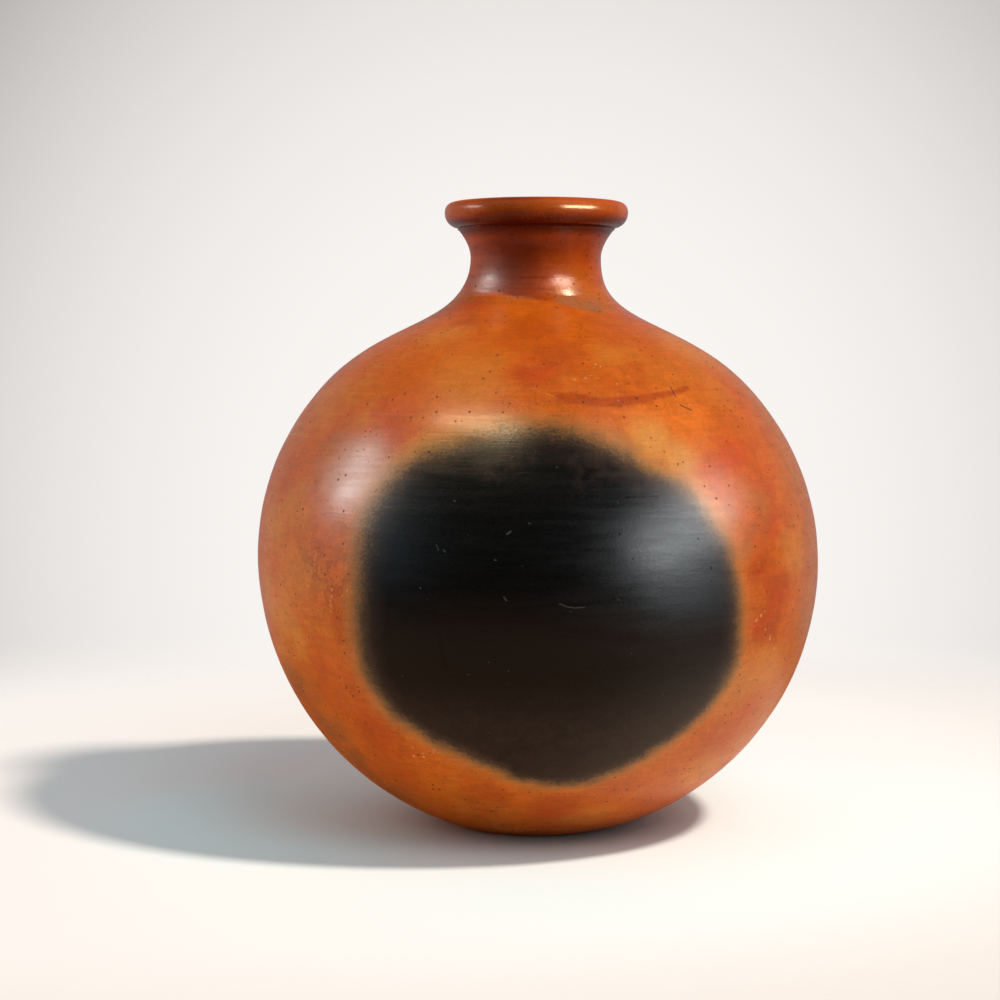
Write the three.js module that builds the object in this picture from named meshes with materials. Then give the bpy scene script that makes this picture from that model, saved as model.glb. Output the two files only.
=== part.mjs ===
// A ball vase of burnished earthenware, in millimetres, +Z up, standing on z = 0 with its axis on Z.
// The potter shapes four sections and lutes them together while the clay is leather hard: a base bowl
// from a mould, a shoulder dome from a second mould, a waisted neck collar, and a fat coil for the rim.
// Each luted seam has a V groove in the lower edge, a ridge to match on the upper edge, and a bed of
// slip between them. Every piece is round, so each one is an outline turned on the vase's axis.
import * as THREE from "three";

// The ball: a round lower half cut flat where it stands, and a slightly flatter dome above
const BELLY_RADIUS = 125;
const FOOT_RADIUS = 36.5;
const DOME_RISE = 117.2; // from the widest point to where the dome's curve would close
const SHOULDER_ANGLE = 40.2; // degrees up the dome, where it gives way to the sweep of the neck
const WALL = 6;

// The floor of the bowl, pressed up a little underneath so that the pot stands on a ring
const FLOOR = 6.6; // thickness in the middle
const HOLLOW_RADIUS = 23;
const HOLLOW_DEPTH = 1.4;

// The neck: a long sweep from the shoulder to the waist, and a short flare up to the rim
const NECK_RISE = 57.6; // from the shoulder up to the waist
const SWEEP_LEAVING = 43.6; // how strongly the sweep keeps to the dome's slope
const SWEEP_ARRIVING = 31.3; // how strongly it keeps to the upright at the waist
const WAIST_RADIUS = 29.1;
const WAIST_WALL = 5;
const FLARE_RISE = 12.9; // from the waist up to the rim's seat
const FLARE_UPRIGHT = 6; // how strongly the flare keeps to the upright
const FLARE_SPREAD = 5.8; // from the waist out to the lip, under the rim
const LIP_WALL = 7.9;

// The rim: a fat coil, round outside and below, pressed flatter on top and drawn down inside the mouth
const ROLL_RADIUS = 6.7; // of its round underside
const ROLL_OVERHANG = 5.9; // how far the coil stands out past the top of the neck
const ROLL_RISE = 4.8; // from its widest level up to the crest
const ROLL_CREST = 5.5; // from its widest place in to the crest
const ROLL_FULLNESS = 0.66; // how squarely the top is rounded; an ellipse has 0.55

// The seams
const SLIP = 0.8; // bed of slip in each seam
const SEAM_LAND = 1.2; // flat left on each side of the groove
const SEAM_DEPTH = 1.6;
const NECK_SEAM_DROP = 19.3; // from the waist down the wall to the seam at the neck's foot

// How finely the curves are drawn
const SIDES = 48;
const BALL_STEPS = 9;
const DOME_STEPS = 5;
const SHOULDER_SWEEP_STEPS = 6;
const NECK_SWEEP_STEPS = 3;
const FLARE_STEPS = 3;
const ROLL_STEPS = 3; // in each of the roll's three curves
const HOLLOW_STEPS = 2;

// Fired clay: the burnished body, the darker slip painted over the neck and rim, and the luting slip
const body = new THREE.MeshStandardMaterial({ color: "#b2561d", roughness: 0.42, metalness: 0 });
const collar = new THREE.MeshStandardMaterial({ color: "#7a3214", roughness: 0.3, metalness: 0 });
const luting = new THREE.MeshStandardMaterial({ color: "#8f4a25", roughness: 0.7, metalness: 0 });

// The axis of the pot and the way up, as directions of the outlines' plane: radius, then height
const UP = new THREE.Vector2(0, 1);
const QUARTER_TURN = Math.PI / 2;

// Turns an outline on the vase's axis. It runs up the outside and down the inside, so faces point out.
function turned(name, outline, material) {
  const mesh = new THREE.Mesh(new THREE.LatheGeometry(outline, SIDES).rotateX(QUARTER_TURN), material);
  mesh.name = name;
  return mesh;
}

// Turns an outline that goes round a ring's section, ending where it starts
function turnedRing(name, outline, material) {
  return turned(name, [...outline, outline[0]], material);
}

// The point of the inner wall behind a point of the outer wall, which runs upward along up
function behind(outer, up, wall) {
  return new THREE.Vector2(-up.y, up.x).multiplyScalar(wall).add(outer);
}

// Evenly spaced shares of a curve between two of its own places, without the two ends
function between(start, end, steps) {
  return Array.from({ length: steps - 1 }, (_, i) => THREE.MathUtils.lerp(start, end, (i + 1) / steps));
}

function outerPoints(curve, shares) {
  return shares.map((share) => curve.getPointAt(share));
}

// The inner wall behind a curve of the outer wall, from its top down, with the wall's thickness at a share
function innerPoints(curve, shares, wallAt) {
  return shares.map((share) => behind(curve.getPointAt(share), curve.getTangentAt(share), wallAt(share))).reverse();
}

// A seam's edge from the outside in: a land, the V and a land, moved along the wall by shift
function seamEdge(seam, shift) {
  const stops = [
    [0, 0],
    [SEAM_LAND, 0],
    [seam.wall / 2, -SEAM_DEPTH],
    [seam.wall - SEAM_LAND, 0],
    [seam.wall, 0],
  ];
  return stops.map(([reach, rise]) =>
    behind(seam.outer, seam.up, reach).addScaledVector(seam.up, rise + shift),
  );
}

const lowerEdge = (seam) => seamEdge(seam, -SLIP / 2);
const upperEdge = (seam) => seamEdge(seam, SLIP / 2).reverse();

// A quarter of the roll's top, from one place to another round a corner
function roundedCorner(from, corner, to) {
  const leaving = from.clone().lerp(corner, ROLL_FULLNESS);
  const arriving = to.clone().lerp(corner, ROLL_FULLNESS);
  return new THREE.CubicBezierCurve(from, leaving, arriving, to);
}

// The outer wall, from the foot to the lip
const shoulderAngle = THREE.MathUtils.degToRad(SHOULDER_ANGLE);
const footAngle = Math.acos(FOOT_RADIUS / BELLY_RADIUS);
const bellyHeight = BELLY_RADIUS * Math.sin(footAngle);
const ball = new THREE.EllipseCurve(0, bellyHeight, BELLY_RADIUS, BELLY_RADIUS, -footAngle, 0);
const dome = new THREE.EllipseCurve(0, bellyHeight, BELLY_RADIUS, DOME_RISE, 0, shoulderAngle);
const shoulder = dome.getPoint(1);
const waist = new THREE.Vector2(WAIST_RADIUS, shoulder.y + NECK_RISE);
const sweep = new THREE.CubicBezierCurve(
  shoulder,
  dome.getTangent(1).multiplyScalar(SWEEP_LEAVING).add(shoulder),
  UP.clone().multiplyScalar(-SWEEP_ARRIVING).add(waist),
  waist,
);
const lip = new THREE.Vector2(waist.x + FLARE_SPREAD, waist.y + FLARE_RISE);
const flare = new THREE.QuadraticBezierCurve(waist, UP.clone().multiplyScalar(FLARE_UPRIGHT).add(waist), lip);

// The wall thins from the ball to the waist along the sweep
const ballWall = () => WALL;
const sweepWall = (share) => THREE.MathUtils.lerp(WALL, WAIST_WALL, share);

// The seams, each at a point of the outer wall
const neckSeamShare = 1 - NECK_SEAM_DROP / sweep.getLength();
const bellySeam = { outer: dome.getPoint(0), up: UP, wall: WALL };
const neckSeam = {
  outer: sweep.getPointAt(neckSeamShare),
  up: sweep.getTangentAt(neckSeamShare),
  wall: sweepWall(neckSeamShare),
};
const rimSeam = { outer: lip, up: UP, wall: LIP_WALL };

// Base bowl: hollowed underneath, up the outside of the ball, and down inside to a flat floor
const floorHeight = HOLLOW_DEPTH + FLOOR;
const innerRadius = BELLY_RADIUS - WALL;
const floorAngle = Math.asin((bellyHeight - floorHeight) / innerRadius);
const hollow = new THREE.QuadraticBezierCurve(
  new THREE.Vector2(0, HOLLOW_DEPTH),
  new THREE.Vector2(HOLLOW_RADIUS / 2, HOLLOW_DEPTH),
  new THREE.Vector2(HOLLOW_RADIUS, 0),
);
const bowlInside = new THREE.EllipseCurve(0, bellyHeight, innerRadius, innerRadius, -floorAngle, 0);
const baseBowl = [
  ...hollow.getPoints(HOLLOW_STEPS),
  ...ball.getPoints(BALL_STEPS).slice(0, -1),
  ...lowerEdge(bellySeam),
  ...bowlInside.getPoints(BALL_STEPS).slice(0, -1).reverse(),
  new THREE.Vector2(0, floorHeight),
];

// Shoulder dome: from the widest point over the dome and up the sweep to the neck's foot
const domeShares = between(0, 1, DOME_STEPS);
const shoulderSweepShares = [0, ...between(0, neckSeamShare, SHOULDER_SWEEP_STEPS)];
const shoulderDome = [
  ...upperEdge(bellySeam),
  ...outerPoints(dome, domeShares),
  ...outerPoints(sweep, shoulderSweepShares),
  ...lowerEdge(neckSeam),
  ...innerPoints(sweep, shoulderSweepShares, sweepWall),
  ...innerPoints(dome, domeShares, ballWall),
];

// Neck collar: the rest of the sweep, the waist and the flare, thickening inside towards the lip
const mouth = behind(lip, UP, LIP_WALL);
const throat = behind(waist, UP, WAIST_WALL);
const flareInside = new THREE.QuadraticBezierCurve(
  throat,
  UP.clone().multiplyScalar(FLARE_UPRIGHT).add(throat),
  mouth,
);
const neckSweepShares = [...between(neckSeamShare, 1, NECK_SWEEP_STEPS), 1];
const flareShares = between(0, 1, FLARE_STEPS);
const neckCollar = [
  ...upperEdge(neckSeam),
  ...outerPoints(sweep, neckSweepShares),
  ...outerPoints(flare, flareShares),
  ...lowerEdge(rimSeam),
  ...outerPoints(flareInside, flareShares).reverse(),
  ...innerPoints(sweep, neckSweepShares, sweepWall),
];

// Rim roll: a coil whose round underside passes through the outer edge of its seat
const rollReach = ROLL_RADIUS - ROLL_OVERHANG; // from the underside's centre out to the seat's edge
const seatAngle = Math.acos(rollReach / ROLL_RADIUS);
const rollMiddle = new THREE.Vector2(lip.x - rollReach, lip.y + SLIP / 2 + ROLL_RADIUS * Math.sin(seatAngle));
const widest = new THREE.Vector2(lip.x + ROLL_OVERHANG, rollMiddle.y);
const crest = new THREE.Vector2(widest.x - ROLL_CREST, widest.y + ROLL_RISE);
const mouthEdge = new THREE.Vector2(mouth.x, widest.y);
const rollCurves = [
  new THREE.EllipseCurve(rollMiddle.x, rollMiddle.y, ROLL_RADIUS, ROLL_RADIUS, -seatAngle, 0),
  roundedCorner(widest, new THREE.Vector2(widest.x, crest.y), crest),
  roundedCorner(crest, new THREE.Vector2(mouthEdge.x, crest.y), mouthEdge),
];
const rimRoll = [...upperEdge(rimSeam), ...rollCurves.flatMap((curve) => curve.getPoints(ROLL_STEPS).slice(1))];

// A bed of slip fills each seam between the two edges
const slipBed = (seam) => [...lowerEdge(seam).reverse(), ...upperEdge(seam).reverse()];

const vase = new THREE.Group();
vase.add(
  turned("base_bowl", baseBowl, body),
  turnedRing("belly_slip_joint", slipBed(bellySeam), luting),
  turnedRing("shoulder_dome", shoulderDome, body),
  turnedRing("neck_slip_joint", slipBed(neckSeam), luting),
  turnedRing("neck_collar", neckCollar, collar),
  turnedRing("rim_slip_joint", slipBed(rimSeam), luting),
  turnedRing("rim_roll", rimRoll, collar),
);

export default vase;
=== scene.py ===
"""A burnished earthenware ball vase with a fire cloud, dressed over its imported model.

Sizes are in millimetres, unless a comment says otherwise.
"""
from math import acos, asin, ceil, cos, pi, radians, sin, sqrt, tan

import bpy
from mathutils import Euler, Matrix, Vector


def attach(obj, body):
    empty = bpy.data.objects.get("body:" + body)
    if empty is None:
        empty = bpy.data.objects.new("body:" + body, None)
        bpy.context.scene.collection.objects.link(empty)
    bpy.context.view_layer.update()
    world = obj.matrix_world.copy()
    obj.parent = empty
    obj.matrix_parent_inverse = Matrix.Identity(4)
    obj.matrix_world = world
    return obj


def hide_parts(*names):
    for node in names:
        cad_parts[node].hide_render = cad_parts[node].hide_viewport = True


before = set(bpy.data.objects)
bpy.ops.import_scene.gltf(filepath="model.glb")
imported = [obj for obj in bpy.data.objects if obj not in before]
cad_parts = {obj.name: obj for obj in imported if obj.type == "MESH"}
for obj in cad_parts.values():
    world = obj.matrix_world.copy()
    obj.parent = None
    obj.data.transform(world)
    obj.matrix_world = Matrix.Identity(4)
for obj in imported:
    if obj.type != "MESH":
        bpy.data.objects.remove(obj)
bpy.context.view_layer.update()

# Base bowl
# The lower half of the ball: orange earthenware pressed into a mould, cut flat where it stands and
# pressed up a little underneath. The potter rubs the leather-hard clay with a smooth stone, so it fires
# to a satin gloss with fine strokes, pits and small nicks, and the open fire leaves a black smoke cloud.

MM = 0.001
BELLY_RADIUS = 125
FOOT_RADIUS = 36.5
WALL = 6
FLOOR = 6.6
HOLLOW_RADIUS = 23
HOLLOW_DEPTH = 1.4
SLIP = 0.8
SEAM_LAND = 1.2
SEAM_DEPTH = 1.6
OUTSIDE_SPACING = 1.5  # between the rows of the outer wall
INSIDE_SPACING = 3
SEAM_SPACING = 0.2  # the row next to a seam, so that the shading runs straight over it
SIDES = 512
UP = Vector((0, 1))


def ellipse(centre, radii, start, end):
    """A stretch of an ellipse between two angles, as a function of the share of the way along it."""

    def point(share):
        angle = start + (end - start) * share
        return Vector((centre.x + radii.x * cos(angle), centre.y + radii.y * sin(angle)))

    return point


def bezier(*corners):
    """A Bezier curve with the given corners, as a function of the share of the way along it."""

    def point(share):
        line = list(corners)
        while len(line) > 1:
            line = [a.lerp(b, share) for a, b in zip(line, line[1:])]
        return line[0]

    return point


def rising(curve, share):
    """The direction of a curve at a share of the way along it."""
    step = 1e-4
    return (curve(share + step) - curve(share - step)).normalized()


def behind(outer, up, wall):
    """The point of the inner wall behind a point of the outer wall, which rises along up."""
    return outer + Vector((-up.y, up.x)) * wall


def shares_between(curve, start, end, spacing):
    """Shares along a curve between two of its own, without the ends, about spacing apart."""
    trial = 24
    places = [curve(start + (end - start) * i / trial) for i in range(trial + 1)]
    steps = ceil(sum((b - a).length for a, b in zip(places, places[1:])) / spacing)
    return [start + (end - start) * i / steps for i in range(1, steps)]


def outer_row(curve, spacing, start=0, end=1):
    """Points up a stretch of the outer wall."""
    return [curve(share) for share in shares_between(curve, start, end, spacing)]


def inner_row(curve, spacing, wall_at, start=0, end=1):
    """Points down the inner wall behind a stretch of the outer wall."""
    shares = shares_between(curve, start, end, spacing)
    return [behind(curve(share), rising(curve, share), wall_at(share)) for share in reversed(shares)]


def seam_edge(seam, side):
    """A luted edge from the outside in: a land, the V and a land. side is -1 below the slip, 1 above."""
    outer, up, wall = seam
    stops = [(0, 0), (SEAM_LAND, 0), (wall / 2, -SEAM_DEPTH), (wall - SEAM_LAND, 0), (wall, 0)]
    return [behind(outer, up, reach) + up * (rise + side * SLIP / 2) for reach, rise in stops]


def beside_seam(seam, side, wall=0):
    """The wall's point next to a seam, on the side away from the slip: outside, or inside with a wall."""
    outer, up, _ = seam
    return [behind(outer, up, wall) + up * side * (SLIP / 2 + SEAM_SPACING)]


def add(tree, kind, inputs=None, **settings):
    """Adds a node with its settings, then sets its inputs or links them to other nodes or their sockets."""
    made = tree.nodes.new(kind)
    for name, setting in settings.items():
        setattr(made, name, setting)
    for place, value in (inputs or {}).items():
        socket = made.inputs[place] if isinstance(place, int) else first_enabled(made.inputs, place)
        if isinstance(value, bpy.types.Node):
            value = first_enabled(value.outputs)
        if isinstance(value, bpy.types.NodeSocket):
            tree.links.new(value, socket)
        else:
            socket.default_value = value
    return made


def first_enabled(sockets, name=None):
    """The first socket that a node shows, or the first of a name."""
    return next(socket for socket in sockets if socket.enabled and name in (None, socket.name))


def colour(code):
    """An sRGB hex colour as linear red, green, blue and alpha."""
    parts = [int(code[i : i + 2], 16) / 255 for i in (1, 3, 5)]
    return [c / 12.92 if c <= 0.04045 else ((c + 0.055) / 1.055) ** 2.4 for c in parts] + [1]


# The hand-built form leans a little off its axis: how far to the right, at each height
LEANS = [
    (0, 0),
    (28, 0.8),
    (65, 0.8),
    (120, 0.2),
    (170, -0.5),
    (205, -1.2),
    (224, -1.7),
    (250, -0.7),
    (280, -0.3),
]
STROKE_FACET = 30  # the flats that the burnishing stone leaves
STROKE_FACET_DEPTH = 0.5
STROKE_FACET_SQUASH = 1.6  # how much wider than tall
FOOT_START = 1  # heights between which the unevenness sets in above the foot
FOOT_CLEAR = 12
FINGER_RIDGE = 11  # spacing of the finger ridges inside
FINGER_RIDGE_DEPTH = 0.7
FINGER_WANDER = 1.5  # how far the ridges rise and fall, in ridges
CREASE = radians(35)  # a bend that stays a sharp edge
POLE_GAP = 0.01  # nearer than this, points at the poles are one


def turned_tree():
    """Turns an outline on the axis and gives it a hand-built form. Rows marked inside get finger ridges."""
    tree = bpy.data.node_groups.new("hand_turned_clay", "GeometryNodeTree")
    sockets = [
        ("Geometry", "NodeSocketGeometry"),
        ("Sides", "NodeSocketInt"),
        ("Facet Size", "NodeSocketFloat"),
        ("Facet Depth", "NodeSocketFloat"),
        ("Ridge Spacing", "NodeSocketFloat"),
        ("Ridge Depth", "NodeSocketFloat"),
        ("Outside", "NodeSocketMaterial"),
        ("Inside", "NodeSocketMaterial"),
    ]
    for name, kind in sockets:
        tree.interface.new_socket(name, in_out="INPUT", socket_type=kind)
    tree.interface.new_socket("Geometry", in_out="OUTPUT", socket_type="NodeSocketGeometry")
    given = add(tree, "NodeGroupInput").outputs

    # One column of the grid for each side, one row for each point of the outline
    rows = add(tree, "GeometryNodeAttributeDomainSize", {0: given["Geometry"]})
    columns = add(tree, "ShaderNodeMath", {0: given["Sides"], 1: 1}, operation="ADD")
    grid = add(tree, "GeometryNodeMeshGrid", {"Vertices X": columns, "Vertices Y": rows})
    index = add(tree, "GeometryNodeInputIndex")
    row = add(tree, "ShaderNodeMath", {0: index, 1: rows}, operation="MODULO")
    share = add(tree, "ShaderNodeMath", {0: index, 1: rows}, operation="DIVIDE")
    column = add(tree, "ShaderNodeMath", {0: share}, operation="FLOOR")
    turn = add(tree, "ShaderNodeMath", {0: column, 1: given["Sides"]}, operation="DIVIDE")
    angle = add(tree, "ShaderNodeMath", {0: turn, 1: 2 * pi}, operation="MULTIPLY")
    here = add(tree, "GeometryNodeInputPosition")
    outline = add(
        tree,
        "GeometryNodeSampleIndex",
        {"Geometry": given["Geometry"], "Value": here, "Index": row},
        data_type="FLOAT_VECTOR",
    )
    placed = add(tree, "ShaderNodeVectorRotate", {"Vector": outline, "Angle": angle}, rotation_type="Z_AXIS")
    mark = add(tree, "GeometryNodeInputNamedAttribute", {"Name": "inside"}, data_type="FLOAT")
    marked = add(
        tree,
        "GeometryNodeSampleIndex",
        {"Geometry": given["Geometry"], "Value": mark, "Index": row},
        data_type="FLOAT",
    )
    kept = add(
        tree,
        "GeometryNodeStoreNamedAttribute",
        {"Geometry": grid, "Name": "inside", "Value": marked},
        data_type="FLOAT",
        domain="POINT",
    )
    turned = add(tree, "GeometryNodeSetPosition", {"Geometry": kept, "Position": placed})
    closed = add(tree, "GeometryNodeMergeByDistance", {"Geometry": turned, "Distance": POLE_GAP * MM})

    # The lean of the axis, the flats of the burnishing, and the finger ridges inside
    level = add(tree, "ShaderNodeSeparateXYZ", {0: here}).outputs["Z"]
    height = add(tree, "ShaderNodeMath", {0: level, 1: LEANS[-1][0] * MM}, operation="DIVIDE")
    lean = add(tree, "ShaderNodeFloatCurve", {"Value": height})
    curve = lean.mapping.curves[0]
    lean_reach = max(abs(offset) for _, offset in LEANS)
    for number, (at, offset) in enumerate(LEANS):
        place = (at / LEANS[-1][0], 0.5 + 0.5 * offset / lean_reach)
        if number < 2:
            curve.points[number].location = place
        else:
            curve.points.new(*place)
    lean.mapping.update()
    lean_x = add(
        tree,
        "ShaderNodeMapRange",
        {"Value": lean, "To Min": -lean_reach * MM, "To Max": lean_reach * MM},
    )
    sideways = add(tree, "ShaderNodeCombineXYZ", {"X": lean_x})
    flat_scale = add(tree, "ShaderNodeMath", {0: 1, 1: given["Facet Size"]}, operation="DIVIDE")
    stretched = add(
        tree,
        "ShaderNodeVectorMath",
        {0: here, 1: (1, 1, STROKE_FACET_SQUASH)},
        operation="MULTIPLY",
    )
    flats = add(
        tree,
        "ShaderNodeTexNoise",
        {"Vector": stretched, "Scale": flat_scale, "Detail": 1.5, "Roughness": 0.45},
    )
    centred = add(tree, "ShaderNodeMath", {0: flats, 1: 0.5}, operation="SUBTRACT")
    flat_depth = add(tree, "ShaderNodeMath", {0: centred, 1: given["Facet Depth"]}, operation="MULTIPLY")
    ridge_turns = add(tree, "ShaderNodeMath", {0: level, 1: given["Ridge Spacing"]}, operation="DIVIDE")
    wandering = add(
        tree,
        "ShaderNodeMath",
        {0: flats, 1: FINGER_WANDER, 2: ridge_turns},
        operation="MULTIPLY_ADD",
    )
    ridge_angle = add(tree, "ShaderNodeMath", {0: wandering, 1: 2 * pi}, operation="MULTIPLY")
    ridge = add(tree, "ShaderNodeMath", {0: ridge_angle}, operation="SINE")
    ridge_depth = add(tree, "ShaderNodeMath", {0: ridge, 1: given["Ridge Depth"]}, operation="MULTIPLY")
    within = add(tree, "GeometryNodeInputNamedAttribute", {"Name": "inside"}, data_type="FLOAT")
    ridge_within = add(tree, "ShaderNodeMath", {0: ridge_depth, 1: within}, operation="MULTIPLY")
    bulge = add(tree, "ShaderNodeMath", {0: flat_depth, 1: ridge_within}, operation="ADD")
    clear = add(
        tree,
        "ShaderNodeMapRange",
        {"Value": level, "From Min": FOOT_START * MM, "From Max": FOOT_CLEAR * MM},
        interpolation_type="SMOOTHSTEP",
    )
    faded = add(tree, "ShaderNodeMath", {0: bulge, 1: clear}, operation="MULTIPLY")
    flattened = add(tree, "ShaderNodeVectorMath", {0: here, 1: (1, 1, 0)}, operation="MULTIPLY")
    outward = add(tree, "ShaderNodeVectorMath", {0: flattened}, operation="NORMALIZE")
    pushed = add(tree, "ShaderNodeVectorMath", {0: outward, "Scale": faded}, operation="SCALE")
    moved = add(tree, "ShaderNodeVectorMath", {0: pushed, 1: sideways}, operation="ADD")
    formed = add(tree, "GeometryNodeSetPosition", {"Geometry": closed, "Offset": moved})

    # Smooth everywhere but at the luted edges and the foot, raw clay inside, burnished clay outside
    smooth = add(tree, "GeometryNodeSetShadeSmooth", {"Geometry": formed})
    bend = add(tree, "GeometryNodeInputMeshEdgeAngle")
    sharp = add(tree, "FunctionNodeCompare", {0: bend, 1: CREASE}, operation="GREATER_THAN")
    creased = add(
        tree,
        "GeometryNodeSetShadeSmooth",
        {"Geometry": smooth, "Selection": sharp, "Shade Smooth": False},
        domain="EDGE",
    )
    outside = add(tree, "GeometryNodeSetMaterial", {"Geometry": creased, "Material": given["Outside"]})
    deep = add(tree, "FunctionNodeCompare", {0: within, 1: 0.5}, operation="GREATER_THAN")
    both = add(
        tree,
        "GeometryNodeSetMaterial",
        {"Geometry": outside, "Selection": deep, "Material": given["Inside"]},
    )
    real = add(tree, "GeometryNodeRealizeInstances", {"Geometry": both})
    add(tree, "NodeGroupOutput", {0: real})
    return tree


TURNED = turned_tree()


def clay_piece(name, outline, outside, inside):
    """A turned piece of the wall. outline is a list of (point, whether it is inside the pot)."""
    mesh = bpy.data.meshes.new(name)
    mesh.from_pydata([(point.x * MM, 0, point.y * MM) for point, _ in outline], [], [])
    mark = mesh.attributes.new("inside", "FLOAT", "POINT")
    mark.data.foreach_set("value", [float(within) for _, within in outline])
    piece = bpy.data.objects.new(name, mesh)
    bpy.context.scene.collection.objects.link(piece)
    modifier = piece.modifiers.new("turned", "NODES")
    modifier.node_group = TURNED
    values = {
        "Sides": SIDES,
        "Facet Size": STROKE_FACET * MM,
        "Facet Depth": STROKE_FACET_DEPTH * MM,
        "Ridge Spacing": FINGER_RIDGE * MM,
        "Ridge Depth": FINGER_RIDGE_DEPTH * MM,
        "Outside": outside,
        "Inside": inside,
    }
    for item in TURNED.interface.items_tree:
        if item.in_out == "INPUT" and item.name in values:
            modifier[item.identifier] = values[item.name]
    evaluated = piece.evaluated_get(bpy.context.evaluated_depsgraph_get())
    finished = bpy.data.meshes.new_from_object(evaluated)
    piece.modifiers.remove(modifier)
    piece.data = finished
    finished.name = name
    bpy.data.meshes.remove(mesh)
    return piece


def wall(points, inside=False):
    """Marks the points of an outline as outside or inside the pot."""
    return [(point, inside) for point in points]


# Fired clay in the colours of an open firing: orange where air reached it, in drifts of deeper, sallower
# and brighter orange, redder in the flashes round the cloud, and carbon black in the cloud itself
CLAY_ORANGE = "#c95d0a"
CLAY_DEEP = "#b5480a"
CLAY_SALLOW = "#d07a24"
CLAY_BRIGHT = "#de7018"
FLASH_RED = "#c23c0a"
STREAK_RED = "#a03408"
CLAY_DULL = "#b06428"
# painted shade, for the lower left of the ball
CLAY_DUSKY_SHADE = "#9c5222"
VEIN_BROWN = "#82380f"
HALO_PALE = "#dc9640"
SMOKE_BLACK = "#050505"
SMOKE_BROWN = "#33251d"
SMOKE_UMBER_SHEEN = "#291d15"
PIT_DARK = "#2a130a"
CHIP_PALE = "#eba468"
SCUFF_GREY = "#6f7678"
CLAY_IOR = 1.43
CLAY_ROUGHNESS = 0.32

# The cloud's edge, drawn on a chart of the ball: millimetres over the surface from the cloud's middle
BALL_CENTRE = sqrt(BELLY_RADIUS**2 - FOOT_RADIUS**2)
CLOUD_AZIMUTH = radians(3)  # of the cloud's middle, to the right of the front
CLOUD_ELEVATION = radians(-5.6)
CLOUD_RADIUS = 78.9
CLOUD_SWELLS = [  # how many times round, how high, and the bearing of one peak in degrees
    (1, 2.8, 228),
    (2, 4.8, 159),
    (3, 0.6, 110),
    (4, 0.4, 26),
    (5, 1.5, 62),
    (6, 1.7, 31),
]
EDGE_WANDER = 6  # how far the edge wanders besides, and over what size
EDGE_WANDER_SIZE = 13
EDGE_INSET = 3
EDGE_TOP = radians(120)  # bearing at which the edge is softest and most broken
EDGE_BREAK = 7  # how strongly the grain breaks the edge, low down and at the top
EDGE_BREAK_TOP = 15
EDGE_SOFTNESS = 0.85  # how softly it fades, low down and at the top
EDGE_SOFTNESS_TOP = 1.45
CLOUD_NOTCH = ((47, 64), 15)  # a shallow notch in the edge, upper right
CLOUD_NOTCH_DEPTH = 3
CLOUD_FADE = [(-10, "#c8782a", 0), (-5.5, "#a06a33", 0.55), (-2.5, "#73542f", 0.88), (0.5, "#463222", 1)]
CLOUD_DEPTH = [(4, "#221812", 1), (9, SMOKE_BLACK, 1)]
HALO_BEARING = radians(88)  # the halo is palest to either side of this, partly real halo and partly painted highlight where the lamps glint
HALO_SPREAD = radians(40)
HALO_WIDTH = 16
HALO_START = 5  # outside the cloud
UMBER_SHEEN_START = 84  # heights between which the smoke turns brown towards its lower end, partly brown smoke and partly painted reflection of the floor
UMBER_SHEEN_FULL = 58

# Drifts on the chart, each a colour, its strength, and patches (across, up) with a radius
DRIFTS = [
    (
        CLAY_SALLOW,
        0.6,
        [((-38, 107), 28), ((92, 140), 34), ((-122, 10), 22), ((-135, -22), 20), ((-59, 140), 22)],
    ),
    (
        CLAY_SALLOW,
        0.7,
        [((90, -44), 22), ((105, -36), 20), ((78, -93), 22), ((20, -112), 18), ((124, 20), 18)],
    ),
    (CLAY_DEEP, 0.6, [((-8, 140), 26), ((5, 120), 22), ((-2, 104), 17), ((-93, -12), 17), ((-88, -38), 18)]),
    (CLAY_DEEP, 0.7, [((-78, -62), 22), ((-31, -97), 22), ((5, -100), 18), ((-92, -14), 12)]),
    (CLAY_DEEP, 0.9, [((106, 2), 15), ((104, -14), 13), ((98, 12), 12)]),
    (CLAY_SALLOW, 0.5, [((36, 124), 20)]),
    (CLAY_BRIGHT, 0.9, [((66, 81), 24), ((45, 80), 20), ((61, -42), 18), ((39, -62), 17), ((75, -2), 12)]),
    (FLASH_RED, 0.5, [((93, 67), 18), ((105, 50), 18), ((107, 36), 15)]),
    (FLASH_RED, 0.3, [((110, -4), 10)]),
    (CLAY_SALLOW, 0.4, [((62, 110), 26), ((84, 104), 22)]),
    (FLASH_RED, 0.35, [((-100, 75), 20), ((-75, 81), 18)]),
    (CLAY_DULL, 0.7, [((-84, 56), 30), ((-98, 66), 26), ((100, 42), 16)]),
    # painted shade on the lower left of the ball
    (CLAY_DUSKY_SHADE, 0.7, [((-134, -62), 24), ((-113, -80), 24), ((-97, -100), 20), ((-82, -116), 20)]),
    (CLAY_DULL, 0.6, [((76, 36), 13), ((84, 22), 11)]),
    (
        CLAY_DULL,
        0.65,
        [((150, 55), 44), ((156, 15), 42), ((150, -22), 34), ((150, 98), 42), ((136, 124), 34)],
    ),
    (CLAY_SALLOW, 0.7, [((-150, 30), 26), ((-150, -10), 26), ((-128, 42), 18), ((-126, -30), 16)]),
]
DRIFT_SIZE = 42  # of the random drifts all round the pot
SPREAD_SIZE = 24
DRIFT_WARP = 36  # how far the patches' edges wander, and the marks'
MARK_WARP = 9
GOLD_AND_GLINT_PATCHES = [((44, 71), 17), ((56, 63), 16)]  # brightest places of the halo, partly painted highlight of the lamp from the upper right
SMOKE_PATCHES = [((45, 60), 24), ((16, 68), 24), ((-22, 68), 18)]  # where the cloud's top is thin and brown
VEIN_PATCHES = [((-107, 14), 20), ((-98, 4), 18)]
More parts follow.
